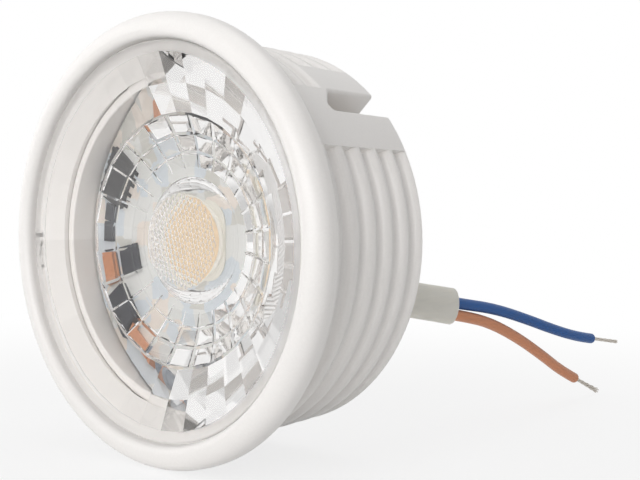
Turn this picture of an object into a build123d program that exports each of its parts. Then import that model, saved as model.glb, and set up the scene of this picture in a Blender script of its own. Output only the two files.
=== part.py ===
from build123d import *
import math
import os

# Recessed LED spotlight module: a white moulded housing with a round rim and ribs, a faceted clear lens,
# an LED board in an aluminium cup, and two leads that come out of the rear wall through a sleeve.
# Frame: lamp axis on Y, light leaves towards -Y, Z is up, origin at the middle of the rim's round land.
# All sizes are in millimetres, and angles go from +X towards +Z.

os.makedirs("parts", exist_ok=True)

# Housing
rim_radius = 25.0
rim_thickness = 3.4
rim_face_width = 2.9
rim_front_round = 2.0
rim_rear_round = 0.7
rim_inner_drop = 0.9
body_front_radius = 22.9
body_rear_radius = 22.1
body_edge_round = 0.4
module_depth = 20.5
rear_wall = 1.6
rear_room = 3.8
cup_ledge = 1.0

# Ribs, and the slots with a smooth strip on each side
rib_count = 6
front_rib_count = 3
rib_depth = 0.9
rib_pitch = 2.95
first_groove = 4.15
slot_angle = 42.9
slot_count = 2
slot_width = 3.0
slot_front_low = 9.9
slot_front_high = 12.4
slot_corner_round = 0.6
slot_floor_wall = 0.9
smooth_angle = 32.2
front_rib_run = 11.8
rib_run_overlap = 1.0

# Lens
lens_clearance = 0.15
lens_recess = 1.1
lens_flange = 1.5
lens_edge_round = 0.3
lens_seat_width = 0.9
lens_seat_depth = 2.15
wall_facets = 36
foot_facets = 24
facet_wall_clearance = 0.4
facet_wall_step = 0.1
wall_ring_shares = ((0, 0), (0.26, 0.25), (0.51, 0.52))
foot_ring_shares = ((0.53, 0.52), (0.70, 0.75), (0.86, 0.91), (1, 1))
lens_foot = 0.92
lens_foot_gap = 0.3
well_radius = 5.6
well_depth = 3.1

# Heat cup, pad and board
cup_radius = 18.2
cup_clearance = 0.1
cup_wall = 1.0
cup_floor = 1.4
cup_front_gap = 3.15
cup_lip_round = 0.3
pad_radius = 11.5
pad_thickness = 0.2
board_thickness = 1.2
board_clearance = 0.3

# Light source
phosphor_radius = 4.6
phosphor_thickness = 0.4
dam_width = 0.7
dam_height = 0.5
dam_round = 0.23
led_margin = 0.1
led_corner_round = 3.4
led_base_thickness = 0.5
led_clearance = 0.95

# Driver parts on the board: size along the radius, size along the ring, height
part_inset = 2.9
inner_part_inset = 6.1
chip_size = (3.9, 4.9, 1.5)
chip_leg = (0.6, 0.4, 0.25)
chip_leg_pitch = 1.27
chip_legs_per_side = 4
chip_angles = (40, 153)
bridge_size = (3.9, 4.7, 1.5)
bridge_leg = (0.7, 0.7, 0.25)
bridge_leg_pitch = 2.5
bridge_legs_per_side = 2
bridge_angle = 90
varistor_size = (3.2, 4.5, 1.6)
varistor_angle = 214
capacitor_size = (1.6, 3.2, 1.2)
capacitor_angles = (65, 115, 194, 231)
resistor_size = (1.25, 2.0, 0.6)
resistor_angles = (169, 178, 290, 300, 310, 320)
sense_resistor_size = (3.0, 3.2, 0.6)
sense_resistor_angle = 193
package_bevel = 0.2
fuse_radius = 0.75
fuse_length = 3.6
fuse_cap_length = 0.6
fuse_cap_lift = 0.06
fuse_angle = 250

# Board screws
screw_inset = 2.9
screw_angles = (12, 272)
screw_radius = 0.9
screw_clearance = 0.05
screw_board_clearance = 0.2
screw_head_radius = 1.8
screw_head_height = 1.2
screw_head_round = 0.4
screw_tail = 0.6
recess_width = 0.4
recess_length = 2.2
recess_depth = 0.5

# Leads and sleeve
lead_x = 13.5
lead_z = -6.3
wire_radius = 0.725
core_radius = 0.265
core_clearance = 0.02
core_hole_clearance = 0.1
blue_rise = 0.5
brown_drop = 1.0
bare_length = 7.5
min_bend_diameters = 5
sleeve_radius = 2.2
sleeve_wall = 0.35
sleeve_clearance = 0.05
sleeve_inside = 1.0
wire_play = 0.1
solder_radius = 0.7
solder_height = 0.6
solder_round = 0.3

# Places along the lamp axis
front_y = -(rim_front_round + rim_thickness - rim_rear_round) / 2
rim_rear_y = front_y + rim_thickness
rear_y = front_y + module_depth
rear_wall_y = rear_y - rear_wall
cup_rear_y = rear_wall_y - rear_room
cup_floor_y = cup_rear_y - cup_floor
board_rear_y = cup_floor_y - pad_thickness
board_front_y = board_rear_y - board_thickness
lens_front_y = front_y + lens_recess
lens_seat_y = lens_front_y + lens_flange
lens_foot_y = board_front_y - lens_foot_gap
facet_top_y = lens_seat_y + facet_wall_step
cup_front_y = lens_seat_y + cup_front_gap
led_front_y = board_front_y - led_base_thickness
first_groove_y = front_y + first_groove
slot_low_y = front_y + slot_front_low
slot_high_y = front_y + slot_front_high

# Sizes that fit one another
rim_crest_radius = rim_radius - rim_front_round
lens_bore = rim_radius - rim_face_width
lens_radius = lens_bore - lens_clearance
cup_bore = cup_radius + cup_clearance
rear_room_radius = cup_bore - cup_ledge
slot_floor_radius = cup_bore + slot_floor_wall
lens_seat_radius = lens_bore - lens_seat_width
facet_wall_radius = lens_seat_radius - facet_wall_clearance
cup_inner_radius = cup_radius - cup_wall
board_radius = cup_inner_radius - board_clearance
part_ring = board_radius - part_inset
inner_part_ring = board_radius - inner_part_inset
screw_ring = board_radius - screw_inset
screw_length = board_thickness + pad_thickness + cup_floor + screw_tail
dam_radius = phosphor_radius + dam_width
led_side = 2 * (dam_radius + led_margin)
led_reach = (led_side / 2 - led_corner_round) * math.sqrt(2) + led_corner_round
well_mouth_radius = led_reach + led_clearance
lens_foot_radius = well_mouth_radius + lens_foot
fuse_cap_radius = fuse_radius + fuse_cap_lift
sleeve_bore = sleeve_radius - sleeve_wall
wire_opening_radius = sleeve_bore + wire_play
core_bore = core_radius + core_clearance
blue_z = lead_z + blue_rise
brown_z = lead_z - brown_drop


def level(y):
    """Plane across the lamp axis at y, facing the way the light leaves, with Z up."""
    return Plane.XZ.offset(-y)


def half_plane(angle):
    """Plane through the lamp axis at an angle, with its own Y along the axis."""
    turn = math.radians(angle)
    return Plane(
        origin=(0, 0, 0),
        x_dir=(math.cos(turn), 0, math.sin(turn)),
        z_dir=(-math.sin(turn), 0, math.cos(turn)),
    )


def slot_floor(angle):
    """Plane on the floor of a slot, facing out, with its own X towards smaller angles and Y along the axis."""
    turn = math.radians(angle)
    out = Vector(math.cos(turn), 0, math.sin(turn))
    return Plane(origin=out * slot_floor_radius, x_dir=(math.sin(turn), 0, -math.cos(turn)), z_dir=out)


def body_radius(y):
    """Outer radius of the drafted body at y."""
    share = (y - rim_rear_y) / (rear_y - rim_rear_y)
    return body_front_radius + share * (body_rear_radius - body_front_radius)


def is_brim(edge):
    """True for the body's outer rear edge and for the slots' edges along the body's outside."""
    middle = edge @ 0.5
    outside = math.hypot(middle.X, middle.Z) > slot_floor_radius + body_edge_round
    return outside and middle.Y > rim_rear_y + body_edge_round


def front_edges(part):
    """Edges of a part's foremost faces."""
    return part.faces().filter_by(Axis.Y).group_by(Axis.Y)[0].edges()


# Housing: rim, drafted body, lens seat, cup bore, room behind the cup and rear wall in one moulding
slot_angles = [slot_angle + 360 / slot_count * index for index in range(slot_count)]
rib_sweep = 360 / slot_count - smooth_angle
rib_runs = []
for middle_angle in slot_angles:
    front_start = middle_angle + smooth_angle / 2 + rib_run_overlap
    rib_runs.append((middle_angle - smooth_angle / 2, rib_count, rib_sweep))
    rib_runs.append((front_start, front_rib_count, front_rib_run + rib_run_overlap))
rib_outside = rim_radius + rib_depth
rib_root = body_radius(first_groove_y) - rib_depth

with BuildPart() as housing:
    with BuildSketch(Plane.XY):
        with BuildLine():
            TangentArc(
                (rim_crest_radius, front_y),
                (lens_bore, front_y + rim_inner_drop),
                tangent=(-1, 0),
            )
            RadiusArc(
                (rim_crest_radius, front_y),
                (rim_radius, front_y + rim_front_round),
                -rim_front_round,
            )
            Line((rim_radius, front_y + rim_front_round), (rim_radius, rim_rear_y - rim_rear_round))
            RadiusArc(
                (rim_radius, rim_rear_y - rim_rear_round),
                (rim_radius - rim_rear_round, rim_rear_y),
                -rim_rear_round,
            )
            Polyline(
                (rim_radius - rim_rear_round, rim_rear_y),
                (body_front_radius, rim_rear_y),
                (body_rear_radius, rear_y),
                (0, rear_y),
                (0, rear_wall_y),
                (rear_room_radius, rear_wall_y),
                (rear_room_radius, cup_rear_y),
                (cup_bore, cup_rear_y),
                (cup_bore, lens_seat_y + lens_seat_depth),
                (lens_seat_radius, lens_seat_y),
                (lens_bore, lens_seat_y),
                (lens_bore, front_y + rim_inner_drop),
            )
        make_face()
    revolve(axis=Axis.Y)
    # Slots, open to the rear, with a slanted front
    for angle in slot_angles:
        with BuildSketch(slot_floor(angle)) as slot:
            Polygon(
                (slot_width / 2, slot_low_y),
                (slot_width / 2, rear_y),
                (-slot_width / 2, rear_y),
                (-slot_width / 2, slot_high_y),
                align=None,
            )
            fillet(slot.vertices().sort_by(Axis.Y)[:2], slot_corner_round)
        extrude(amount=rim_radius - slot_floor_radius, mode=Mode.SUBTRACT)
    fillet(housing.edges().filter_by(is_brim), body_edge_round)
    # Ribs: round waves from one slot's smooth strip to the next, where the front ones run on up to the slot
    for angle, ribs, run_angle in rib_runs:
        with BuildSketch(half_plane(angle)):
            with BuildLine():
                Line((rib_root, rim_rear_y), (rib_root, first_groove_y))
                rise = (rib_root + rib_depth / 2, first_groove_y + rib_pitch / 4)
                TangentArc((rib_root, first_groove_y), rise, tangent=(0, 1))
                for rib in range(ribs - 1):
                    crest_y = first_groove_y + (rib + 0.5) * rib_pitch
                    dip_y = crest_y + rib_pitch / 2
                    crest = (body_radius(crest_y), crest_y)
                    fall = (body_radius(crest_y) - rib_depth / 2, crest_y + rib_pitch / 4)
                    dip = (body_radius(dip_y) - rib_depth, dip_y)
                    ThreePointArc(rise, crest, fall)
                    rise = (body_radius(dip_y) - rib_depth / 2, dip_y + rib_pitch / 4)
                    ThreePointArc(fall, dip, rise)
                last_y = first_groove_y + (ribs - 0.5) * rib_pitch
                last_crest = (body_radius(last_y), last_y)
                TangentArc(last_crest, rise, tangent=(0, -1))
                Polyline(last_crest, (rib_outside, last_y), (rib_outside, rim_rear_y), (rib_root, rim_rear_y))
            make_face()
        revolve(axis=Axis.Y, revolution_arc=run_angle, mode=Mode.SUBTRACT)
    # Hole for the sleeve in the rear wall
    with BuildSketch(level(rear_y)):
        with Locations((lead_x, lead_z)):
            Circle(sleeve_radius + sleeve_clearance)
    extrude(amount=rear_wall, mode=Mode.SUBTRACT)
housing.part.label = "housing"
export_step(housing.part, "parts/housing.step")


# Lens: flange, faceted wall, faceted bottom that narrows to the foot, and a well over the light source
def facet_ring(shares):
    """Circumradius and place of a ring between facets, from its shares of the way from the flange to the foot."""
    ring_radius = facet_wall_radius + shares[0] * (lens_foot_radius - facet_wall_radius)
    return ring_radius, facet_top_y + shares[1] * (lens_foot_y - facet_top_y)


with BuildPart() as lens:
    facet_zones = ((wall_ring_shares, wall_facets, 0), (foot_ring_shares, foot_facets, 180 / foot_facets))
    for ring_shares, facets, turn in facet_zones:
        for shares in ring_shares:
            ring_radius, ring_y = facet_ring(shares)
            with BuildSketch(level(ring_y)):
                RegularPolygon(ring_radius, facets, rotation=turn)
        loft(ruled=True)
    with BuildSketch(level(facet_top_y)):
        RegularPolygon(facet_wall_radius, wall_facets)
    extrude(amount=facet_wall_step)
    with BuildSketch(level(lens_seat_y)):
        Circle(lens_radius)
    extrude(amount=lens_flange)
    fillet(front_edges(lens), lens_edge_round)
    with BuildSketch(Plane.XY):
        Polygon(
            (0, lens_foot_y),
            (well_mouth_radius, lens_foot_y),
            (well_radius, lens_foot_y - well_depth),
            (0, lens_foot_y - well_depth),
            align=None,
        )
    revolve(axis=Axis.Y, mode=Mode.SUBTRACT)
lens.part.label = "lens"
export_step(lens.part, "parts/lens.step")

# Heat cup: drawn aluminium, seated on the ledge in the housing, with holes for the leads and screws
with BuildPart() as heat_cup:
    with BuildSketch(level(cup_rear_y)):
        Circle(cup_radius)
    extrude(amount=cup_rear_y - cup_front_y)
    with BuildSketch(level(cup_floor_y)):
        Circle(cup_inner_radius)
    extrude(amount=cup_floor_y - cup_front_y, mode=Mode.SUBTRACT)
    fillet(front_edges(heat_cup), cup_lip_round)
    with BuildSketch(level(cup_rear_y)):
        with Locations((lead_x, lead_z)):
            Circle(wire_opening_radius)
        for angle in screw_angles:
            with PolarLocations(screw_ring, 1, start_angle=angle):
                Circle(screw_radius + screw_clearance)
    extrude(amount=cup_floor, mode=Mode.SUBTRACT)
heat_cup.part.label = "heat_cup"
export_step(heat_cup.part, "parts/heat_cup.step")

# Thermal pad between the cup's floor and the board
with BuildPart() as thermal_pad:
    with BuildSketch(level(cup_floor_y)):
        Circle(pad_radius)
    extrude(amount=pad_thickness)
thermal_pad.part.label = "thermal_pad"
export_step(thermal_pad.part, "parts/thermal_pad.step")

# LED board, with holes for the screws and for the cores of the two leads
with BuildPart() as led_board:
    with BuildSketch(level(board_rear_y)):
        Circle(board_radius)
        for angle in screw_angles:
            with PolarLocations(screw_ring, 1, start_angle=angle):
                Circle(screw_radius + screw_board_clearance, mode=Mode.SUBTRACT)
        with Locations((lead_x, blue_z), (lead_x, brown_z)):
            Circle(core_radius + core_hole_clearance, mode=Mode.SUBTRACT)
    extrude(amount=board_thickness)
led_board.part.label = "led_board"
export_step(led_board.part, "parts/led_board.step")

# Light source: substrate, dam, and the phosphor that fills the dam
with BuildPart() as led_base:
    with BuildSketch(level(board_front_y)):
        RectangleRounded(led_side, led_side, led_corner_round)
    extrude(amount=led_base_thickness)
led_base.part.label = "led_base"
export_step(led_base.part, "parts/led_base.step")

with BuildPart() as led_dam:
    with BuildSketch(level(led_front_y)):
        Circle(dam_radius)
        Circle(phosphor_radius, mode=Mode.SUBTRACT)
    extrude(amount=dam_height)
    fillet(front_edges(led_dam), dam_round)
led_dam.part.label = "led_dam"
export_step(led_dam.part, "parts/led_dam.step")

with BuildPart() as led_phosphor:
    with BuildSketch(level(led_front_y)):
        Circle(phosphor_radius)
    extrude(amount=phosphor_thickness)
led_phosphor.part.label = "led_phosphor"
export_step(led_phosphor.part, "parts/led_phosphor.step")


# Driver parts, standing on the board's front in a ring, and one on a smaller ring
def leg_places(size, leg, pitch, per_side):
    """Centres of a package's legs, along its two sides across the ring."""
    reach = (size[0] + leg[0]) / 2
    middle = (per_side - 1) / 2
    return [(side * reach, (row - middle) * pitch) for side in (-1, 1) for row in range(per_side)]


def ring_packages(name, ring, angles, size, bevel=0, leg=None, places=()):
    """Packages on a ring at the given angles, as one node: a block each, with a bevel and legs if given."""
    with BuildPart() as packages:
        with BuildSketch(level(board_front_y)):
            for angle in angles:
                with PolarLocations(ring, 1, start_angle=angle):
                    Rectangle(size[0], size[1])
        extrude(amount=size[2])
        if bevel:
            chamfer(front_edges(packages), bevel)
        if leg:
            with BuildSketch(level(board_front_y)):
                for angle in angles:
                    with PolarLocations(ring, 1, start_angle=angle):
                        with Locations(*places):
                            Rectangle(leg[0], leg[1])
            extrude(amount=leg[2])
    packages.part.label = name
    export_step(packages.part, f"parts/{name}.step")


bridge_places = leg_places(bridge_size, bridge_leg, bridge_leg_pitch, bridge_legs_per_side)
chip_places = leg_places(chip_size, chip_leg, chip_leg_pitch, chip_legs_per_side)
ring_packages("bridge_rectifier", part_ring, [bridge_angle], bridge_size, package_bevel, bridge_leg, bridge_places)
ring_packages("driver_ics", part_ring, chip_angles, chip_size, package_bevel, chip_leg, chip_places)
ring_packages("varistor", part_ring, [varistor_angle], varistor_size, package_bevel)
ring_packages("smd_capacitors", part_ring, capacitor_angles, capacitor_size)
ring_packages("smd_resistors", part_ring, resistor_angles, resistor_size)
ring_packages("sense_resistor", inner_part_ring, [sense_resistor_angle], sense_resistor_size)

# Fuse resistor: a round body with a thicker cap at each end, lying along the ring
fuse_turn = math.radians(fuse_angle)
fuse_out = Vector(math.cos(fuse_turn), 0, math.sin(fuse_turn))
fuse_along = Vector(-math.sin(fuse_turn), 0, math.cos(fuse_turn))
fuse_centre = fuse_out * part_ring + Vector(0, board_front_y - fuse_cap_radius, 0)
fuse_end = Plane(origin=fuse_centre - fuse_along * (fuse_length / 2), x_dir=fuse_out, z_dir=fuse_along)

with BuildPart() as fuse_resistor:
    with BuildSketch(fuse_end):
        Circle(fuse_radius)
    extrude(amount=fuse_length)
    with BuildSketch(fuse_end, fuse_end.offset(fuse_length - fuse_cap_length)):
        Circle(fuse_cap_radius)
    extrude(amount=fuse_cap_length)
fuse_resistor.part.label = "fuse_resistor"
export_step(fuse_resistor.part, "parts/fuse_resistor.step")

# Board screws, with a cross recess, threaded into the cup's floor
with BuildPart() as board_screws:
    for angle in screw_angles:
        with BuildSketch(level(board_front_y)):
            with PolarLocations(screw_ring, 1, start_angle=angle):
                Circle(screw_head_radius)
        extrude(amount=screw_head_height)
    fillet(front_edges(board_screws), screw_head_round)
    for angle in screw_angles:
        with BuildSketch(level(board_front_y - screw_head_height)):
            with PolarLocations(screw_ring, 1, start_angle=angle):
                Rectangle(recess_length, recess_width)
                Rectangle(recess_width, recess_length)
        extrude(amount=-recess_depth, mode=Mode.SUBTRACT)
        with BuildSketch(level(board_front_y)):
            with PolarLocations(screw_ring, 1, start_angle=angle):
                Circle(screw_radius)
        extrude(amount=-screw_length)
board_screws.part.label = "board_screws"
export_step(board_screws.part, "parts/board_screws.step")

# Solder joints over the ends of the lead cores
with BuildPart() as solder_joints:
    with BuildSketch(level(board_front_y)):
        with Locations((lead_x, blue_z), (lead_x, brown_z)):
            Circle(solder_radius)
    extrude(amount=solder_height)
    fillet(front_edges(solder_joints), solder_round)
solder_joints.part.label = "solder_joints"
export_step(solder_joints.part, "parts/solder_joints.step")

# Routes of the sleeve and leads: along the axis through the rear wall, then drooping behind the module
sleeve_points = [
    (lead_x, rear_wall_y - sleeve_inside, lead_z),
    (lead_x, 20.2, lead_z),
    (lead_x, 29.2, -7.75),
    (lead_x, 35.7, -8.86),
]
blue_points = [
    (lead_x, 20.2, blue_z),
    (lead_x, 29.2, -7.25),
    (lead_x, 37.7, -8.7),
    (13.5, 45.2, -9.85),
    (13.6, 52.5, -11.7),
    (13.9, 60.5, -14.05),
    (14.2, 66.4, -15.5),
]
blue_tip = (14.5, 77.3, -17.2)
brown_points = [
    (lead_x, 20.2, brown_z),
    (lead_x, 29.2, -8.75),
    (lead_x, 37.7, -10.2),
    (13.4, 44.2, -11.55),
    (13.3, 51.4, -14.25),
    (13.0, 58.9, -17.7),
    (12.8, 63.9, -20.2),
]
brown_tip = (12.6, 74.9, -24.5)


def bend_radii(points):
    """Radius at each inner point, as large as the shorter of its two runs allows."""
    radii = []
    for before, point, after in zip(points, points[1:], points[2:]):
        run_in = Vector(*point) - Vector(*before)
        run_out = Vector(*after) - Vector(*point)
        half_turn = math.radians(run_in.get_angle(run_out)) / 2
        radii.append(0.45 * min(run_in.length, run_out.length) / math.tan(half_turn))
    return radii


def tube_along(name, points, radii, radius, bore=0):
    """Tube along straight runs joined by tangent arcs, or a rod without a bore. Prints how it came out."""
    with BuildPart() as tube:
        with BuildLine() as path:
            FilletPolyline(*points, radius=radii)
        with BuildSketch(Plane(origin=points[0], z_dir=(0, 1, 0))) as section:
            Circle(radius)
            if bore:
                Circle(bore, mode=Mode.SUBTRACT)
        sweep(path=path.wire())
    tube.part.label = name
    export_step(tube.part, f"parts/{name}.step")
    length = path.wire().length
    bends = "fine" if min(radii) >= min_bend_diameters * 2 * radius else "too tight"
    print(name, "length", round(length, 1), "bend radii", [round(bend, 1) for bend in radii], bends)
    print(name, "volume over section times length", round(tube.part.volume / section.sketch.area / length, 6))


def lead_route(z, points, tip):
    """A lead's route from the board's back to where its insulation ends."""
    bare = (Vector(*tip) - Vector(*points[-1])).normalized() * bare_length
    return [(lead_x, board_rear_y, z), *points, tuple(Vector(*tip) - bare)]


# Sleeve: a soft tube that holds both leads where they leave the rear wall
tube_along("sleeve", sleeve_points, bend_radii(sleeve_points), sleeve_radius, sleeve_bore)

# Leads: insulation from the board's back to where it is stripped, core from the solder joint to the bare tip
leads = (
    ("blue", blue_z, blue_points, blue_tip),
    ("brown", brown_z, brown_points, brown_tip),
)
for colour, lead_start_z, lead_points, lead_tip in leads:
    route = lead_route(lead_start_z, lead_points, lead_tip)
    core_route = [(lead_x, board_front_y, lead_start_z), *lead_points, lead_tip]
    tube_along(f"{colour}_insulation", route, bend_radii(route), wire_radius, core_bore)
    tube_along(f"{colour}_conductor", core_route, bend_radii(route), core_radius)
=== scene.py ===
"""LED spotlight module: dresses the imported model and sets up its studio."""

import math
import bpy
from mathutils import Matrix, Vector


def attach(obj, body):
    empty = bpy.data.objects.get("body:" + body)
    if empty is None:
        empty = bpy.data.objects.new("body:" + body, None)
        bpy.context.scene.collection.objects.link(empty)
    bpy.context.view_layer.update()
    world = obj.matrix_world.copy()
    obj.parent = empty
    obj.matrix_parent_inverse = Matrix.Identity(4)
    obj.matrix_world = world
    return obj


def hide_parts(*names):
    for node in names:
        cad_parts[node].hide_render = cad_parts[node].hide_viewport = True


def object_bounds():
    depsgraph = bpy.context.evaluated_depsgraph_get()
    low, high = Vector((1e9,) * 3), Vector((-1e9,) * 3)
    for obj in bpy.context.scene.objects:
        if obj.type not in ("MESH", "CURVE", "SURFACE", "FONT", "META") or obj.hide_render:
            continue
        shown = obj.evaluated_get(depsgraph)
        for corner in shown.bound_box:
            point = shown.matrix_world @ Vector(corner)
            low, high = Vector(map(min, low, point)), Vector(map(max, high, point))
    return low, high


bl_info = {
    "name": "LED spotlight module",
    "version": (1, 0, 0),
    "blender": (4, 5, 0),
    "location": "View3D > Sidebar > Spotlight",
    "description": "Lens, leads and finishes of a recessed LED spotlight module, with its studio",
    "category": "Object",
}

import bmesh
import bpy
from bpy.props import FloatProperty, FloatVectorProperty, IntProperty, PointerProperty
from mathutils import Matrix, Vector

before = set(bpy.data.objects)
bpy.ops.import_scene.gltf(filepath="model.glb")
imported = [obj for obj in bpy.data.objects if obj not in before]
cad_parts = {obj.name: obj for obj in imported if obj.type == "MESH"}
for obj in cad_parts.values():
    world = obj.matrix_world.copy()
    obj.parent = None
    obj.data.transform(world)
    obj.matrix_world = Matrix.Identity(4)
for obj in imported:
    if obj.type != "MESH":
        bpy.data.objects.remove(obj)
cad_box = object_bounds()

MM = 0.001
AXIS_UP = Vector((0, 0, 1))
# The way the lamp shines
LIGHT_WAY = (0, -1, 0)
WHITE = (1, 1, 1, 1)


def linear(hex_text):
    """An sRGB hex colour as linear red, green, blue and alpha."""
    channels = [int(hex_text[i : i + 2], 16) / 255 for i in (1, 3, 5)]
    return tuple(c / 12.92 if c <= 0.04045 else ((c + 0.055) / 1.055) ** 2.4 for c in channels) + (1.0,)


# Sizes and colours that a user would change


def length_property(name, description, length_mm):
    return FloatProperty(
        name=name, description=description, default=length_mm * MM, unit="LENGTH", precision=5
    )


def colour_property(name, description, hex_text):
    return FloatVectorProperty(
        name=name,
        description=description,
        subtype="COLOR",
        size=4,
        min=0.0,
        max=1.0,
        default=linear(hex_text),
    )


class SpotlightSizes(bpy.types.PropertyGroup):
    """Sizes of the pieces that are modelled here."""

    wall_facets: IntProperty(name="Wall facets", description="Facets round the lens wall", default=36)
    foot_facets: IntProperty(
        name="Foot facets", description="Facets round each ring of the lens foot", default=24
    )
    bead_pitch: length_property("Bead pitch", "Distance between the beads over the light source", 0.62)
    bead_height: length_property("Bead height", "How far a bead stands out", 0.08)
    lead_diameter: length_property("Lead diameter", "Outside of a lead's insulation", 1.45)
    core_diameter: length_property("Core diameter", "Outside of the bundle of strands", 0.53)
    sleeve_diameter: length_property("Sleeve diameter", "Outside of the sleeve", 4.4)
    sleeve_wall: length_property("Sleeve wall", "Wall of the sleeve", 0.35)
    focal_length: FloatProperty(
        name="Focal length", description="Camera lens", default=67.5, subtype="DISTANCE_CAMERA"
    )


class SpotlightColours(bpy.types.PropertyGroup):
    """Colours of the finishes."""

    housing: colour_property("Housing", "White moulded plastic", "#f3f0ed")
    lens: colour_property("Lens", "Clear acrylic", "#fdfcfb")
    cup: colour_property("Heat cup", "Matt coating", "#f7f4f1")
    board: colour_property("Board", "White solder mask", "#dcdddb")
    phosphor: colour_property("Phosphor", "Phosphor in silicone", "#f4dab8")
    sleeve: colour_property("Sleeve", "Silicone sleeve", "#f7f2e4")
    blue_lead: colour_property("Blue lead", "PVC insulation", "#15589f")
    brown_lead: colour_property("Brown lead", "PVC insulation", "#e0966d")
    floor: colour_property("Floor", "Pale studio floor", "#f5f5f5")


# Helpers for materials


def add_node(tree, kind, values=None, links=None, **settings):
    """Adds a node with its settings, socket values and incoming links."""
    node = tree.nodes.new(kind)
    for name, value in settings.items():
        setattr(node, name, value)
    for socket, value in (values or {}).items():
        node.inputs[socket].default_value = value
    for socket, source in (links or {}).items():
        tree.links.new(source, node.inputs[socket])
    return node


def shade(colour, share):
    """A colour made darker to a share of itself."""
    return tuple(c * share for c in colour[:3]) + (1.0,)


def new_material(name, **shader_values):
    """A material with its Principled shader's own values set, its tree, its shader and Object coordinates."""
    material = bpy.data.materials.new(name)
    material.use_nodes = True
    tree = material.node_tree
    shader = tree.nodes["Principled BSDF"]
    for socket, value in shader_values.items():
        shader.inputs[socket.replace("_", " ")].default_value = value
    place = add_node(tree, "ShaderNodeTexCoord").outputs["Object"]
    return material, tree, shader, place


# Values of the grain between which colour and roughness go from one end to the other
GRAIN_LOW, GRAIN_HIGH = 0.3, 0.7


def grained_material(name, pale, deep, grain_mm, rough, relief_mm, stretch=(1, 1, 1), **shader_values):
    """A material whose colour, roughness and relief follow one fine grain of a real size."""
    material, tree, shader, place = new_material(name, **shader_values)
    mapped = add_node(tree, "ShaderNodeMapping", {"Scale": stretch}, {"Vector": place})
    grain = add_node(
        tree,
        "ShaderNodeTexNoise",
        {"Scale": 1 / (grain_mm * MM), "Detail": 3.0, "Roughness": 0.55},
        {"Vector": mapped.outputs["Vector"]},
    )
    ramp = add_node(tree, "ShaderNodeValToRGB", links={"Fac": grain.outputs["Fac"]})
    for stop, position, colour in zip(ramp.color_ramp.elements, (GRAIN_LOW, GRAIN_HIGH), (deep, pale)):
        stop.position = position
        stop.color = colour
    spread = add_node(
        tree,
        "ShaderNodeMapRange",
        {"From Min": GRAIN_LOW, "From Max": GRAIN_HIGH, "To Min": rough[0], "To Max": rough[1]},
        {"Value": grain.outputs["Fac"]},
    )
    bump = add_node(
        tree,
        "ShaderNodeBump",
        {"Strength": 1.0, "Distance": relief_mm * MM},
        {"Height": grain.outputs["Fac"]},
    )
    tree.links.new(ramp.outputs["Color"], shader.inputs["Base Color"])
    tree.links.new(spread.outputs["Result"], shader.inputs["Roughness"])
    tree.links.new(bump.outputs["Normal"], shader.inputs["Normal"])
    return material


def dress(piece, material):
    """Gives a piece one material."""
    piece.data.materials.clear()
    piece.data.materials.append(material)


# Helpers for modelling


def deselect():
    """Leaves edit mode and clears the selection."""
    if bpy.context.object and bpy.context.object.mode != "OBJECT":
        bpy.ops.object.mode_set(mode="OBJECT")
    bpy.ops.object.select_all(action="DESELECT")


def only(piece):
    """Makes a piece the one that is selected and active."""
    deselect()
    piece.select_set(True)
    bpy.context.view_layer.objects.active = piece


def apply_modifiers(piece):
    """Applies a piece's modifiers in their order."""
    only(piece)
    for modifier in list(piece.modifiers):
        bpy.ops.object.modifier_apply(modifier=modifier.name)


def pick(piece, faces=None, edges=None):
    """In edit mode, selects the faces or edges that a test accepts, and nothing else."""
    bpy.ops.mesh.select_all(action="DESELECT")
    cage = bmesh.from_edit_mesh(piece.data)
    for item in cage.faces if faces else cage.edges:
        if (faces or edges)(item):
            item.select_set(True)
    cage.select_flush_mode()
    bmesh.update_edit_mesh(piece.data)


def point_outwards():
    """In edit mode, turns all faces outwards."""
    bpy.ops.mesh.select_all(action="SELECT")
    bpy.ops.mesh.normals_make_consistent(inside=False)


def face_forward(piece):
    """Turns a piece that was modelled in millimetres, front up, to the module's frame in metres."""
    only(piece)
    piece.rotation_euler = (math.pi / 2, 0, 0)
    piece.scale = (MM, MM, MM)
    bpy.ops.object.transform_apply(location=True, rotation=True, scale=True)


def ring_radius(point):
    """Distance from the axis of a piece that is modelled front up."""
    return math.hypot(point.x, point.y)


def place_piece(piece, name, node):
    """Names a new piece and puts it in the frame in place of its CAD node."""
    piece.name = name
    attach(piece, "root")
    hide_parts(node)


# Stage

# The camera's place in millimetres, and the degrees that it looks from
CAMERA_PLACE = (99.792, -87.501, 5.842)
CAMERA_AZIMUTH = 41.281
CAMERA_ELEVATION = 2.454
SENSOR_MM = 36
# Name, place in millimetres, point aimed at, size and watts of each lamp
LAMPS = (
    ("key_lamp", (-250, -450, 450), (0, 5, 0), 600, 0.55),
    ("front_lamp", (150, -505, 50), (0, 0, 0), 500, 2.6),
    ("left_lamp", (-520, -150, 120), (0, 0, 0), 500, 0.6),
    ("top_lamp", (40, 60, 420), (0, 8, 0), 360, 0.5),
)
FLOOR_WIDTH_M = 6
FLOOR_GAP_MM = 0.05
PAPER_GRAIN_MM = 0.4
# A view of the floor is this share of its own white near the module, and all of it further off
NEAR_MM, FAR_MM = 40, 170
NEAR_WHITE = 0.78
FILL_STRENGTH = 0.25
# Ahead of the lamp, clear and polished surfaces show a greyer room: its level, and the cosines of the
# angles from the lamp axis where it starts and where it is at that level
ROOM_LEVEL = 0.6
ROOM_EDGE, ROOM_CORE = 0.5, 0.95


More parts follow.
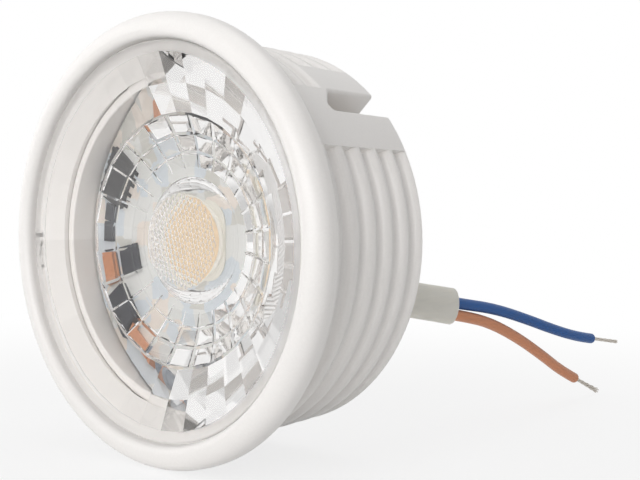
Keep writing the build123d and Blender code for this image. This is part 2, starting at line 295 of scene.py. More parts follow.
class SPOTLIGHT_OT_stage(bpy.types.Operator):
    """Camera, floor, lamps and background"""

    bl_idname = "spotlight.stage"
    bl_label = "Studio stage"

    def execute(self, context):
        scene = context.scene
        scene.view_settings.view_transform = "Standard"
        deselect()
        self.camera(scene)
        self.floor(scene.spotlight_colours.floor)
        self.lamps()
        self.world(scene)
        return {"FINISHED"}

    def camera(self, scene):
        azimuth, elevation = math.radians(CAMERA_AZIMUTH), math.radians(CAMERA_ELEVATION)
        back = Vector(
            (
                math.sin(azimuth) * math.cos(elevation),
                -math.cos(azimuth) * math.cos(elevation),
                math.sin(elevation),
            )
        )
        right = Vector((math.cos(azimuth), math.sin(azimuth), 0))
        turn = Matrix((right, back.cross(right), back)).transposed().to_4x4()
        bpy.ops.object.camera_add()
        camera = bpy.context.object
        camera.name = "camera"
        camera.data.lens = scene.spotlight_sizes.focal_length
        camera.data.sensor_width = SENSOR_MM
        camera.data.clip_start = 1 * MM
        camera.matrix_world = Matrix.Translation(Vector(CAMERA_PLACE) * MM) @ turn
        scene.camera = camera

    def floor(self, colour):
        deselect()
        height = cad_box[0].z - FLOOR_GAP_MM * MM
        bpy.ops.mesh.primitive_plane_add(size=FLOOR_WIDTH_M, location=(0, 0, height))
        floor = bpy.context.object
        floor.name = "floor"
        bpy.ops.object.transform_apply(location=True)
        dress(floor, self.paper(colour))

    def paper(self, colour):
        # Matt paper: even and pale. A view of it is mostly its own white, and the rest is lit and keeps
        # the shadow.
        material, tree, shader, place = new_material("studio_paper", Specular_IOR_Level=0.1, Roughness=0.9)
        grain = add_node(tree, "ShaderNodeTexNoise", {"Scale": 1 / (PAPER_GRAIN_MM * MM)}, {"Vector": place})
        ramp = add_node(tree, "ShaderNodeValToRGB", links={"Fac": grain.outputs["Fac"]})
        ramp.color_ramp.elements[0].color = shade(colour, 0.97)
        ramp.color_ramp.elements[1].color = colour
        tree.links.new(ramp.outputs["Color"], shader.inputs["Base Color"])
        away = add_node(tree, "ShaderNodeVectorMath", links={0: place}, operation="LENGTH")
        fade = add_node(
            tree,
            "ShaderNodeMapRange",
            {"From Min": NEAR_MM * MM, "From Max": FAR_MM * MM, "To Min": NEAR_WHITE, "To Max": 1.0},
            {"Value": away.outputs["Value"]},
            interpolation_type="SMOOTHSTEP",
        )
        share = add_node(
            tree,
            "ShaderNodeMath",
            links={0: self.surroundings(tree), 1: fade.outputs["Result"]},
            operation="MULTIPLY",
        )
        glow = add_node(tree, "ShaderNodeEmission", {"Color": WHITE, "Strength": 1.0})
        mixed = add_node(
            tree,
            "ShaderNodeMixShader",
            links={0: share.outputs["Value"], 1: shader.outputs["BSDF"], 2: glow.outputs["Emission"]},
        )
        tree.links.new(mixed.outputs["Shader"], tree.nodes["Material Output"].inputs["Surface"])
        return material

    def surroundings(self, tree):
        """1 for a view of the surroundings, direct or in a clear or polished surface, 0 for their light."""
        path = add_node(tree, "ShaderNodeLightPath")
        seen = path.outputs["Is Camera Ray"]
        for ray in ("Is Glossy Ray", "Is Transmission Ray"):
            either = add_node(
                tree, "ShaderNodeMath", links={0: seen, 1: path.outputs[ray]}, operation="MAXIMUM"
            )
            seen = either.outputs["Value"]
        return seen

    def lamps(self):
        for name, place, aim, size, watts in LAMPS:
            bpy.ops.object.light_add(type="AREA", location=Vector(place) * MM)
            lamp = bpy.context.object
            lamp.name = name
            lamp.data.shape = "SQUARE"
            lamp.data.size = size * MM
            lamp.data.energy = watts
            # The clear lens shows the plain surroundings and not the lamps
            lamp.visible_transmission = False
            away = Vector(place) - Vector(aim)
            lamp.rotation_euler = away.to_track_quat("Z", "Y").to_euler()

    def world(self, scene):
        world = bpy.data.worlds.new("studio_world")
        scene.world = world
        world.use_nodes = True
        tree = world.node_tree
        fill = tree.nodes["Background"]
        fill.inputs["Color"].default_value = WHITE
        fill.inputs["Strength"].default_value = FILL_STRENGTH
        # White all round, and for the view in clear and polished surfaces a greyer room ahead of the lamp
        direction = add_node(tree, "ShaderNodeTexCoord").outputs["Generated"]
        ahead = add_node(
            tree, "ShaderNodeVectorMath", {1: LIGHT_WAY}, {0: direction}, operation="DOT_PRODUCT"
        )
        room = add_node(
            tree,
            "ShaderNodeMapRange",
            {"From Min": ROOM_EDGE, "From Max": ROOM_CORE, "To Min": 1.0, "To Max": ROOM_LEVEL},
            {"Value": ahead.outputs["Value"]},
            interpolation_type="SMOOTHSTEP",
        )
        path = add_node(tree, "ShaderNodeLightPath")
        level = add_node(
            tree,
            "ShaderNodeMath",
            links={0: path.outputs["Is Camera Ray"], 1: room.outputs["Result"]},
            operation="MAXIMUM",
        )
        white = add_node(tree, "ShaderNodeBackground", {"Color": WHITE}, {"Strength": level.outputs["Value"]})
        mixed = add_node(
            tree,
            "ShaderNodeMixShader",
            links={0: self.surroundings(tree), 1: fill.outputs["Background"], 2: white.outputs["Background"]},
        )
        tree.links.new(mixed.outputs["Shader"], tree.nodes["World Output"].inputs["Surface"])


# Leads and sleeve. Control points of the routes, in millimetres

SLEEVE_ROUTE = ((13.5, 15.55, -6.3), (13.5, 20.2, -6.3), (13.5, 29.2, -7.75), (13.5, 35.7, -8.86))
BLUE_ROUTE = (
    (13.5, 20.2, -5.8),
    (13.5, 29.2, -7.25),
    (13.5, 37.7, -8.7),
    (13.5, 45.2, -9.85),
    (13.6, 52.5, -11.7),
    (13.9, 60.5, -14.05),
    (14.2, 66.4, -15.5),
)
BLUE_TIP = (14.5, 77.3, -17.2)
BROWN_ROUTE = (
    (13.5, 20.2, -7.3),
    (13.5, 29.2, -8.75),
    (13.5, 37.7, -10.2),
    (13.4, 44.2, -11.55),
    (13.3, 51.4, -14.25),
    (13.0, 58.9, -17.7),
    (12.8, 63.9, -20.2),
)
BROWN_TIP = (12.6, 74.9, -24.5)
# Colour, route, tip, length of the insulation in metres, and how far the strands open at the tip
LEADS = (("blue", BLUE_ROUTE, BLUE_TIP, 0.0598, 0.15), ("brown", BROWN_ROUTE, BROWN_TIP, 0.0592, 0.9))
# Bare length of a core, and where the board and the rear wall lie along the lamp axis
BARE_MM = 7.5
BOARD_FRONT_MM = 9.95
BOARD_BACK_MM = 11.15
REAR_FACE_MM = 18.15
# Six strands are twisted round a seventh, one turn in this length
OUTER_STRANDS = 6
TWIST_MM = 9
STRAND_EDGE_ANGLE = 50
# Share of its width that the sleeve loses at its free end, and its girth at each point of its route
SLEEVE_SQUEEZE = 0.48
SLEEVE_GIRTH = (0.97, 0.95, 0.99, 1.04)
SLEEVE_LIP_MM = 0.09
SLEEVE_LIP_ANGLE = 50
SLEEVE_EDGE_ANGLE = 40


class SPOTLIGHT_OT_leads(bpy.types.Operator):
    """Blue and brown leads with their bare strands, and the sleeve that holds them"""

    bl_idname = "spotlight.leads"
    bl_label = "Leads and sleeve"

    def execute(self, context):
        sizes, colours = context.scene.spotlight_sizes, context.scene.spotlight_colours
        sleeve = self.sleeve(sizes)
        dress(sleeve, self.silicone(colours.sleeve))
        # Tinned copper: a grey-white metal, a little uneven where the tin has run.
        copper = grained_material(
            "tinned_copper",
            linear("#cfcac2"),
            linear("#a79f95"),
            grain_mm=0.12,
            rough=(0.22, 0.4),
            relief_mm=0.01,
            Metallic=1.0,
        )
        for colour, route, tip, length, splay in LEADS:
            start = Vector(route[0])
            run = (Vector(tip) - Vector(route[-1])).normalized()
            end = Vector(tip) - run * BARE_MM
            lead = self.curve(
                f"{colour}_lead",
                [Vector((start.x, BOARD_BACK_MM, start.z)), *map(Vector, route), end],
                sizes.lead_diameter / 2,
            )
            dress(lead, self.insulation(colour, getattr(colours, f"{colour}_lead")))
            strands = self.strands(
                f"{colour}_strands",
                [Vector((start.x, BOARD_FRONT_MM, start.z)), *map(Vector, route), Vector(tip)],
                sizes.core_diameter / 2,
                splay,
            )
            dress(strands, copper)
            place_piece(strands, f"{colour}_strands", f"{colour}_conductor")
            place_piece(lead, f"{colour}_lead", f"{colour}_insulation")
        return {"FINISHED"}

    def curve(self, name, points, radius, girths=None):
        """A round cord on a NURBS spline that has the route's points as its control points."""
        data = bpy.data.curves.new(name, "CURVE")
        data.dimensions = "3D"
        data.resolution_u = 12
        data.bevel_depth = radius
        data.bevel_resolution = 6
        data.use_fill_caps = True
        spline = data.splines.new("NURBS")
        spline.points.add(len(points) - 1)
        for index, point in enumerate(points):
            spline.points[index].co = (*(point * MM), 1.0)
            spline.points[index].radius = girths[index] if girths else 1.0
        spline.order_u = 3
        spline.use_endpoint_u = True
        piece = bpy.data.objects.new(name, data)
        bpy.context.scene.collection.objects.link(piece)
        return piece

    def middle_line(self, points):
        """Points along the smooth spline of a route, and how far along it each one is."""
        guide = self.curve("guide", points, 0)
        mesh = bpy.data.meshes.new_from_object(guide)
        line = [vertex.co.copy() for vertex in mesh.vertices]
        bpy.data.objects.remove(guide)
        bpy.data.meshes.remove(mesh)
        along = [0.0]
        for before, after in zip(line, line[1:]):
            along.append(along[-1] + (after - before).length)
        return line, along

    def strands(self, name, points, radius, splay):
        """Twisted strands along the core's route, spread a little towards the tip."""
        line, along = self.middle_line(points)
        bundle = bpy.data.curves.new(name, "CURVE")
        bundle.dimensions = "3D"
        bundle.bevel_depth = radius / 3
        bundle.bevel_resolution = 2
        bundle.use_fill_caps = True
        for strand in range(OUTER_STRANDS + 1):
            spline = bundle.splines.new("POLY")
            spline.points.add(len(line) - 1)
            for index, point in enumerate(line):
                ahead = line[min(index + 1, len(line) - 1)] - line[max(index - 1, 0)]
                side = ahead.cross(AXIS_UP).normalized()
                over = side.cross(ahead).normalized()
                to_tip = along[-1] - along[index]
                open_share = max(0.0, 1 - to_tip / (BARE_MM * MM))
                turn = 2 * math.pi * (along[index] / (TWIST_MM * MM) + strand / OUTER_STRANDS)
                reach = 0 if strand == OUTER_STRANDS else radius * 2 / 3 * (1 + splay * open_share**2)
                spline.points[index].co = (
                    *(point + side * reach * math.cos(turn) + over * reach * math.sin(turn)),
                    1.0,
                )
        piece = bpy.data.objects.new(name, bundle)
        bpy.context.scene.collection.objects.link(piece)
        only(piece)
        bpy.ops.object.convert(target="MESH")
        bpy.ops.object.shade_smooth_by_angle(angle=math.radians(STRAND_EDGE_ANGLE))
        return bpy.context.object

    def sleeve(self, sizes):
        """A soft tube with a wall, squeezed flat towards its free end over the two leads."""
        radius = sizes.sleeve_diameter / 2
        piece = self.curve("sleeve_guide", [Vector(p) for p in SLEEVE_ROUTE], radius, SLEEVE_GIRTH)
        piece.data.use_fill_caps = False
        piece.data.bevel_resolution = 14
        only(piece)
        bpy.ops.object.convert(target="MESH")
        piece = bpy.context.object
        wall = piece.modifiers.new("wall", "SOLIDIFY")
        wall.thickness = sizes.sleeve_wall
        wall.offset = -1
        lip = piece.modifiers.new("lip", "BEVEL")
        lip.width = SLEEVE_LIP_MM * MM
        lip.segments = 3
        lip.limit_method = "ANGLE"
        lip.angle_limit = math.radians(SLEEVE_LIP_ANGLE)
        apply_modifiers(piece)
        bpy.ops.object.mode_set(mode="EDIT")
        point_outwards()
        bpy.ops.object.mode_set(mode="OBJECT")
        bpy.ops.object.shade_smooth_by_angle(angle=math.radians(SLEEVE_EDGE_ANGLE))
        lead_x, wall_y, end_y = SLEEVE_ROUTE[0][0] * MM, REAR_FACE_MM * MM, SLEEVE_ROUTE[-1][1] * MM
        for vertex in piece.data.vertices:
            share = max(0.0, (vertex.co.y - wall_y) / (end_y - wall_y))
            vertex.co.x = lead_x + (vertex.co.x - lead_x) * (1 - SLEEVE_SQUEEZE * share**0.5)
        place_piece(piece, "lead_sleeve", "sleeve")
        return piece

    def silicone(self, colour):
        # Silicone rubber, extruded: milky, lets light in, with faint draw marks along it.
        return grained_material(
            "extruded_silicone",
            colour,
            shade(colour, 0.93),
            grain_mm=0.5,
            rough=(0.38, 0.5),
            relief_mm=0.01,
            stretch=(1, 0.12, 1),
            IOR=1.41,
            Subsurface_Weight=0.35,
            Subsurface_Radius=(1.0, 0.9, 0.75),
            Subsurface_Scale=1.2 * MM,
        )

    def insulation(self, name, colour):
        # Soft PVC, extruded: even colour with a satin skin and faint draw marks along the lead.
        return grained_material(
            f"{name}_pvc",
            colour,
            shade(colour, 0.86),
            grain_mm=0.35,
            rough=(0.36, 0.48),
            relief_mm=0.012,
            stretch=(1, 0.15, 1),
            IOR=1.53,
            Specular_IOR_Level=0.25,
        )


# Lens, modelled in millimetres with its front up

LENS_RADIUS = 21.95
LENS_FRONT = 1.25
LENS_SEAT = -0.25
LENS_EDGE_ROUND = 0.3
# Circumradius and height of the rings between the facets: the wall's, then those down to the foot
WALL_RINGS = ((20.8, -0.35), (17.5, -2.675), (14.32, -5.186))
FOOT_RINGS = ((14.07, -5.186), (11.91, -7.325), (9.88, -8.813), (8.1, -9.65))
WELL_RINGS = ((7.18, -9.65), (5.6, -6.55))
WELL_SIDES = 72
# A multiple of the wall's facets, so that the two rings join evenly
FLANGE_SIDES = 144
# The flange is frosted outside this radius
FROST_RADIUS = 20.7
# How near a point has to be to count as on a ring
RING_SLACK = 0.01
# Width of a foot facet's bevelled border and how far the facet stands out of it, over the facet's width
FACET_BORDER = 0.09
FACET_BULGE = 0.055
# Degrees from which an edge between facets is sharp, and one on a bead
FACET_EDGE_ANGLE = 2.5
BEAD_EDGE_ANGLE = 24
# Degrees that the rows of beads are turned about the lamp axis
BEAD_TURN = 15
# The two steps up a bead: how far in, over the pitch, and how far up, over the bead's height
BEAD_STEPS = ((0.11, 0.6), (0.13, 0.4))
# Beads whose middle is nearer than this to the well's edge, over the pitch, are left out
BEAD_MARGIN = 0.75
# Lowest and highest roughness where the tool is polished and where it is blasted
POLISHED = (0.0, 0.03)
FROSTED = (0.35, 0.5)
FLOW_MM = 3.0
# Light that a face of the lens lets through
PASSED_LIGHT = "#f6f6f6"


class SPOTLIGHT_OT_lens(bpy.types.Operator):
    """Clear lens with bevelled facets, a frosted flange and a beaded well over the light source"""

    bl_idname = "spotlight.lens"
    bl_label = "Lens"

    def execute(self, context):
        sizes, colours = context.scene.spotlight_sizes, context.scene.spotlight_colours
        lens = self.body(sizes)
        beads = self.beads(sizes)
        only(lens)
        beads.select_set(True)
        bpy.ops.object.join()
        bpy.ops.object.mode_set(mode="EDIT")
        bpy.ops.mesh.select_mode(type="EDGE")
        pick(lens, edges=lambda edge: edge.is_boundary)
        bpy.ops.mesh.bridge_edge_loops()
        point_outwards()
        dress(lens, self.acrylic("clear_acrylic", colours.lens, POLISHED))
        lens.data.materials.append(self.acrylic("frosted_acrylic", colours.lens, FROSTED))
        self.frost_flange(lens)
        bpy.ops.object.mode_set(mode="OBJECT")
        face_forward(lens)
        open_edges = self.count_open_edges(lens)
        if open_edges:
            raise RuntimeError(f"the lens has {open_edges} edges that don't join two faces")
        place_piece(lens, "clear_lens", "lens")
        return {"FINISHED"}

    def count_open_edges(self, piece):
        """Number of edges that don't join exactly two faces."""
        cage = bmesh.new()
        cage.from_mesh(piece.data)
        count = sum(len(edge.link_faces) != 2 for edge in cage.edges)
        cage.free()
        return count

    def body(self, sizes):
        """Flange, front, facets, foot and well wall, open at the well's top."""
        deselect()
        wall_radius, wall_top = WALL_RINGS[0]
        bpy.ops.mesh.primitive_circle_add(
            vertices=sizes.wall_facets, radius=wall_radius, location=(0, 0, 0), enter_editmode=True
        )
        lens = bpy.context.object
        bpy.ops.transform.translate(value=(0, 0, wall_top))
        self.rings(WALL_RINGS)
        half_facet = math.pi / sizes.foot_facets
        for sides, turn, rings in ((sizes.foot_facets, half_facet, FOOT_RINGS), (WELL_SIDES, 0, WELL_RINGS)):
            radius, height = rings[0]
            bpy.ops.mesh.primitive_circle_add(
                vertices=sides, radius=radius, location=(0, 0, height), rotation=(0, 0, turn)
            )
            self.rings(rings)
        bpy.ops.mesh.select_mode(type="EDGE")
        self.bridge(lens, WALL_RINGS[-1], FOOT_RINGS[0])
        self.bridge(lens, FOOT_RINGS[-1], WELL_RINGS[0])
        self.flange(lens)
        self.border_facets(lens, sizes.foot_facets)
        bpy.ops.object.mode_set(mode="OBJECT")
        bpy.ops.object.shade_smooth_by_angle(angle=math.radians(FACET_EDGE_ANGLE))
        self.smooth_rounded_edge(lens)
        return lens

    def flange(self, lens):
        """From the facets' top edge up to the flange's underside, out to its edge, up and over the front."""
        wall_radius = WALL_RINGS[0][0]
        self.pick_loops(lens, WALL_RINGS[0])
        self.rings((WALL_RINGS[0], (wall_radius, LENS_SEAT)))
        bpy.ops.mesh.primitive_circle_add(
            vertices=FLANGE_SIDES, radius=LENS_RADIUS, location=(0, 0, LENS_SEAT)
        )
        self.bridge(lens, (wall_radius, LENS_SEAT), (LENS_RADIUS, LENS_SEAT))
        self.pick_loops(lens, (LENS_RADIUS, LENS_SEAT))
        self.rings(((LENS_RADIUS, LENS_SEAT), (LENS_RADIUS, LENS_FRONT)))
        bpy.ops.mesh.edge_face_add()
        bpy.ops.mesh.bevel(offset=LENS_EDGE_ROUND, segments=4, affect="EDGES")
        point_outwards()
        bpy.ops.mesh.select_mode(type="FACE")
        pick(lens, faces=lambda face: len(face.verts) == FLANGE_SIDES)
        bpy.ops.mesh.inset(thickness=LENS_RADIUS - LENS_EDGE_ROUND - FROST_RADIUS)

    def border_facets(self, lens, facets):
        """Gives each facet of the foot a bevelled border."""
        for (outer, high), (inner, low) in zip(FOOT_RINGS, FOOT_RINGS[1:]):
            width = (outer + inner) * math.sin(math.pi / facets)
            pick(
                lens,
                faces=lambda face: low < face.calc_center_median().z < high
                and face.normal.dot(face.calc_center_median() * Vector((1, 1, 0))) > 1,
            )
            bpy.ops.mesh.inset(
                thickness=width * FACET_BORDER,
                depth=width * FACET_BULGE,
                use_individual=True,
                use_even_offset=True,
            )

    def smooth_rounded_edge(self, lens):
        """Shades the flange's rounded edge smooth."""
        bpy.ops.object.mode_set(mode="EDIT")
        bpy.ops.mesh.select_mode(type="EDGE")
        inner = LENS_RADIUS - LENS_EDGE_ROUND + 2 * RING_SLACK
        pick(lens, edges=lambda edge: all(ring_radius(v.co) > inner and v.co.z > 0 for v in edge.verts))
        bpy.ops.mesh.mark_sharp(clear=True)
        bpy.ops.mesh.select_mode(type="FACE")
        bpy.ops.object.mode_set(mode="OBJECT")

    def frost_flange(self, lens):
        """Gives the flange, which its tool leaves unpolished, the second material."""
        bpy.ops.mesh.select_mode(type="FACE")
        pick(lens, faces=lambda face: ring_radius(face.calc_center_median()) > FROST_RADIUS)
        lens.active_material_index = 1
        bpy.ops.object.material_slot_assign()

    def rings(self, rings):
        """Draws the selected loop, which lies on the first ring, on through the other rings."""
        for (radius, height), (next_radius, next_height) in zip(rings, rings[1:]):
            bpy.ops.mesh.extrude_edges_move(TRANSFORM_OT_translate={"value": (0, 0, next_height - height)})
            size = next_radius / radius
            bpy.ops.transform.resize(value=(size, size, 1), center_override=(0, 0, 0))

    def pick_loops(self, lens, *rings):
        """Selects the open loops of edges that lie on the given rings."""

        def on_ring(point, radius, height):
            return abs(ring_radius(point) - radius) < RING_SLACK and abs(point.z - height) < RING_SLACK

        pick(
            lens,
            edges=lambda edge: (edge.is_wire or edge.is_boundary)
            and any(all(on_ring(v.co, *ring) for v in edge.verts) for ring in rings),
        )

    def bridge(self, lens, *rings):
        """Joins the open loops on two rings with faces."""
        self.pick_loops(lens, *rings)
        bpy.ops.mesh.bridge_edge_loops()

    def beads(self, sizes):
        """A sheet of small six-sided beads in a honeycomb, cut to the well's top."""
        pitch, height = sizes.bead_pitch / MM, sizes.bead_height / MM
        top_radius, top_height = WELL_RINGS[-1]
        deselect()
        bpy.ops.mesh.primitive_circle_add(
            vertices=6, radius=pitch / math.sqrt(3), fill_type="NGON", location=(0, 0, 0), enter_editmode=True
        )
        sheet = bpy.context.object
        bpy.ops.mesh.select_all(action="SELECT")
        bpy.ops.mesh.flip_normals()
        for step_in, step_up in BEAD_STEPS:
            bpy.ops.mesh.inset(thickness=pitch * step_in, depth=height * step_up)
        bpy.ops.object.mode_set(mode="OBJECT")
        bead_faces = len(sheet.data.polygons)
        across = 2 * math.ceil(top_radius / pitch) + 3
        row = pitch * math.sqrt(3) / 2
        row_pairs = 2 * math.ceil(top_radius / row / 2) + 2
        for name, count, offset in (
            ("along", across, (pitch, 0, 0)),
            ("pair", 2, (pitch / 2, row, 0)),
            ("rows", row_pairs, (0, 2 * row, 0)),
        ):
            copies = sheet.modifiers.new(name, "ARRAY")
            copies.count = count
            copies.use_relative_offset = False
            copies.use_constant_offset = True
            copies.constant_offset_displace = offset
        apply_modifiers(sheet)
        bpy.ops.object.mode_set(mode="EDIT")
        bpy.ops.mesh.select_all(action="SELECT")
        bpy.ops.transform.translate(value=(-pitch * (across // 2), -row * row_pairs, top_height))
        bpy.ops.transform.rotate(value=math.radians(BEAD_TURN), orient_axis="Z", center_override=(0, 0, 0))
        self.cut_beads(sheet, bead_faces, top_radius - BEAD_MARGIN * pitch)
        bpy.ops.mesh.select_all(action="SELECT")
        bpy.ops.mesh.remove_doubles(threshold=RING_SLACK)
        bpy.ops.object.mode_set(mode="OBJECT")
        bpy.ops.object.shade_smooth_by_angle(angle=math.radians(BEAD_EDGE_ANGLE))
        return sheet

    def cut_beads(self, sheet, bead_faces, reach):
        """Deletes the beads whose middle lies outside the reach."""
        bpy.ops.mesh.select_mode(type="FACE")
        cage = bmesh.from_edit_mesh(sheet.data)
        cage.faces.ensure_lookup_table()
        outside = set()
        for bead in range(len(cage.faces) // bead_faces):
            faces = cage.faces[bead * bead_faces : (bead + 1) * bead_faces]
            middle = sum((face.calc_center_median() for face in faces), Vector()) / bead_faces
            if ring_radius(middle) > reach:
                outside.update(face.index for face in faces)
        pick(sheet, faces=lambda face: face.index in outside)
        bpy.ops.mesh.delete(type="FACE")

    def acrylic(self, name, colour, rough):
        # Acrylic, moulded: water clear where its tool is polished, with a faint unevenness of flow in its
        # skin, and milky at the flange, where the tool has a fine blasted grain.
        material, tree, shader, place = new_material(
            name, Base_Color=colour, Transmission_Weight=1.0, IOR=1.49
        )
        flow = add_node(
            tree, "ShaderNodeTexNoise", {"Scale": 1 / (FLOW_MM * MM), "Detail": 2.0}, {"Vector": place}
        )
        haze = add_node(
            tree,
            "ShaderNodeMapRange",
            {"To Min": rough[0], "To Max": rough[1]},
            {"Value": flow.outputs["Fac"]},
        )
        tree.links.new(haze.outputs["Result"], shader.inputs["Roughness"])
        # The lamps' light goes straight through to the board
        path = add_node(tree, "ShaderNodeLightPath")
        through = add_node(tree, "ShaderNodeBsdfTransparent", {"Color": linear(PASSED_LIGHT)})
        mixed = add_node(
            tree,
            "ShaderNodeMixShader",
            links={0: path.outputs["Is Shadow Ray"], 1: shader.outputs["BSDF"], 2: through.outputs["BSDF"]},
        )
        tree.links.new(mixed.outputs["Shader"], tree.nodes["Material Output"].inputs["Surface"])
        return material


# Housing and inner parts keep their CAD shapes


class SPOTLIGHT_OT_housing(bpy.types.Operator):
    """White moulded housing"""

    bl_idname = "spotlight.housing"
    bl_label = "Housing"

    def execute(self, context):
        colour = context.scene.spotlight_colours.housing
        # Filled PBT, injection moulded: opaque warm white, a satin skin with a very fine grain.
        plastic = grained_material(
            "moulded_white_pbt",
            colour,
            shade(colour, 0.97),
            grain_mm=0.25,
            rough=(0.32, 0.42),
            relief_mm=0.004,
            IOR=1.57,
        )
        dress(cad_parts["housing"], plastic)
        return {"FINISHED"}


BOARD_PAD_MM = 2.3
# Where each colour of the board starts on the scale of pads, before the solder mask's own colour
BOARD_PADS = ((0.0, "#c9c8c2"), (0.24, "#cdd4da"), (0.42, "#e2d9d0"))
MASK_START = 0.56


class SPOTLIGHT_OT_light_source(bpy.types.Operator):
    """Heat cup, pad, board and light source"""

    bl_idname = "spotlight.light_source"
    bl_label = "Light source"

    def execute(self, context):
        colours = context.scene.spotlight_colours
        # Matt coating on drawn aluminium: pale, with the draw lines faint under it.
        cup = grained_material(
            "coated_aluminium",
            colours.cup,
            shade(colours.cup, 0.96),
            grain_mm=0.2,
            rough=(0.45, 0.55),
            relief_mm=0.002,
            stretch=(1, 0.06, 1),
        )
        # Silicone gap pad: dull grey, a little mottled by its filler.
        pad = grained_material(
            "filled_silicone_pad",
            linear("#9aa0a6"),
            linear("#858b91"),
            grain_mm=0.3,
            rough=(0.6, 0.75),
            relief_mm=0.02,
        )
        # Alumina substrate: dense off-white ceramic with a fine fired grain.
        alumina = grained_material(
            "alumina",
            linear("#ece9e0"),
            linear("#dcd8cc"),
            grain_mm=0.15,
            rough=(0.4, 0.55),
            relief_mm=0.006,
            IOR=1.76,
        )
        # Dam of white silicone, laid as a bead: satin and even.
        dam = grained_material(
            "white_silicone",
            linear("#f1eee6"),
            linear("#e6e2d8"),
            grain_mm=0.4,
            rough=(0.4, 0.5),
            relief_mm=0.01,
            IOR=1.41,
        )
        # Phosphor in silicone gel: warm orange-yellow, mottled by the powder in it.
        phosphor = grained_material(
            "phosphor_gel",
            colours.phosphor,
            shade(colours.phosphor, 0.86),
            grain_mm=0.35,
            rough=(0.25, 0.4),
            relief_mm=0.01,
            IOR=1.41,
        )
        for node, material in (
            ("heat_cup", cup),
            ("thermal_pad", pad),
            ("led_board", self.circuit_board(colours.board)),
            ("led_base", alumina),
            ("led_dam", dam),
            ("led_phosphor", phosphor),
        ):
            dress(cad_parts[node], material)
        return {"FINISHED"}

    def circuit_board(self, colour):
        # White solder mask, broken up by square tinned pads and bare laminate between the tracks.
        material, tree, shader, place = new_material("printed_circuit_board", IOR=1.55)
        cells = add_node(
            tree,
            "ShaderNodeTexVoronoi",
            {"Scale": 1 / (BOARD_PAD_MM * MM), "Randomness": 0.7},
            {"Vector": place},
            distance="CHEBYCHEV",
        )
        pads = add_node(tree, "ShaderNodeValToRGB", links={"Fac": cells.outputs["Color"]})
        pads.color_ramp.interpolation = "CONSTANT"
        stops = pads.color_ramp.elements
        stops.remove(stops[1])
        (first_position, first_hex), *others = BOARD_PADS
        stops[0].position, stops[0].color = first_position, linear(first_hex)
        for position, hex_text in others:
            stops.new(position).color = linear(hex_text)
        stops.new(MASK_START).color = colour
        sheen = add_node(
            tree, "ShaderNodeMapRange", {"To Min": 0.25, "To Max": 0.45}, {"Value": cells.outputs["Color"]}
        )
        tree.links.new(pads.outputs["Color"], shader.inputs["Base Color"])
        tree.links.new(sheen.outputs["Result"], shader.inputs["Roughness"])
        return material


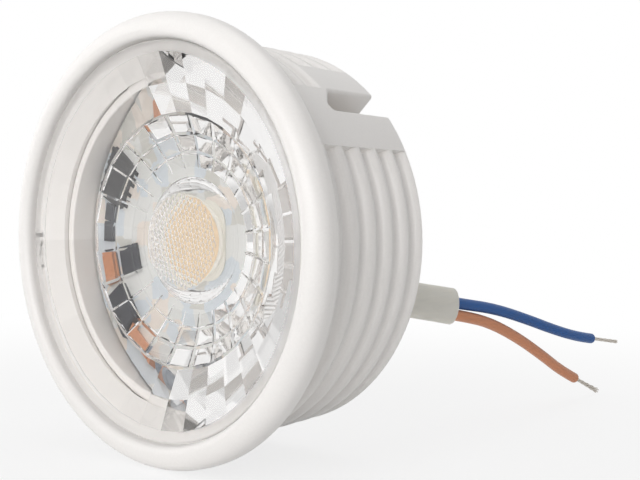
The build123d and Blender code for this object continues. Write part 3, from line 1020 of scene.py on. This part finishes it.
class SPOTLIGHT_OT_driver_parts(bpy.types.Operator):
    """Driver parts, screws and solder joints on the board"""

    bl_idname = "spotlight.driver_parts"
    bl_label = "Driver parts"

    def execute(self, context):
        # Epoxy moulding compound: near black, with a fine matt grain.
        epoxy = grained_material(
            "black_epoxy",
            linear("#26262a"),
            linear("#161618"),
            grain_mm=0.15,
            rough=(0.45, 0.6),
            relief_mm=0.01,
        )
        # Coated ceramic bodies: hard and smooth, with a slight glaze.
        dark, tan, grey = (
            grained_material(name, linear(pale), linear(deep), grain_mm=0.3, rough=rough, relief_mm=relief_mm)
            for name, pale, deep, rough, relief_mm in (
                ("glazed_dark_ceramic", "#34363f", "#23252b", (0.25, 0.4), 0.006),
                ("tan_ceramic", "#cf8f68", "#b5764f", (0.35, 0.5), 0.008),
                ("grey_enamel", "#7d8794", "#69727e", (0.25, 0.4), 0.008),
            )
        )
        # Zinc-plated steel: pale grey metal with a slight bluish cast.
        steel = grained_material(
            "zinc_plated_steel",
            linear("#c3c5c8"),
            linear("#a5a8ac"),
            grain_mm=0.25,
            rough=(0.25, 0.4),
            relief_mm=0.008,
            Metallic=1.0,
        )
        # Solder: bright metal, frozen a little uneven.
        solder = grained_material(
            "bright_solder",
            linear("#cfd0d1"),
            linear("#b4b5b6"),
            grain_mm=0.4,
            rough=(0.15, 0.3),
            relief_mm=0.02,
            Metallic=1.0,
        )
        for node, material in (
            ("bridge_rectifier", epoxy),
            ("driver_ics", epoxy),
            ("varistor", dark),
            ("smd_capacitors", tan),
            ("smd_resistors", dark),
            ("sense_resistor", dark),
            ("fuse_resistor", grey),
            ("board_screws", steel),
            ("solder_joints", solder),
        ):
            dress(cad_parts[node], material)
        return {"FINISHED"}


class SPOTLIGHT_PT_panel(bpy.types.Panel):
    """Pieces and sizes of the spotlight module"""

    bl_label = "Spotlight"
    bl_idname = "SPOTLIGHT_PT_panel"
    bl_space_type = "VIEW_3D"
    bl_region_type = "UI"
    bl_category = "Spotlight"

    def draw(self, context):
        for group in (context.scene.spotlight_sizes, context.scene.spotlight_colours):
            column = self.layout.column()
            for name in group.__annotations__:
                column.prop(group, name)
        for operator in OPERATORS:
            self.layout.operator(operator.bl_idname)


OPERATORS = (
    SPOTLIGHT_OT_stage,
    SPOTLIGHT_OT_leads,
    SPOTLIGHT_OT_housing,
    SPOTLIGHT_OT_lens,
    SPOTLIGHT_OT_light_source,
    SPOTLIGHT_OT_driver_parts,
)
CLASSES = (SpotlightSizes, SpotlightColours, *OPERATORS, SPOTLIGHT_PT_panel)


def register():
    for cls in CLASSES:
        bpy.utils.register_class(cls)
    bpy.types.Scene.spotlight_sizes = PointerProperty(type=SpotlightSizes)
    bpy.types.Scene.spotlight_colours = PointerProperty(type=SpotlightColours)


def unregister():
    del bpy.types.Scene.spotlight_colours
    del bpy.types.Scene.spotlight_sizes
    for cls in reversed(CLASSES):
        bpy.utils.unregister_class(cls)


def main():
    register()
    bpy.ops.spotlight.stage()
    bpy.ops.spotlight.leads()
    bpy.ops.spotlight.housing()
    bpy.ops.spotlight.lens()
    bpy.ops.spotlight.light_source()
    bpy.ops.spotlight.driver_parts()


if __name__ == "__main__":
    main()
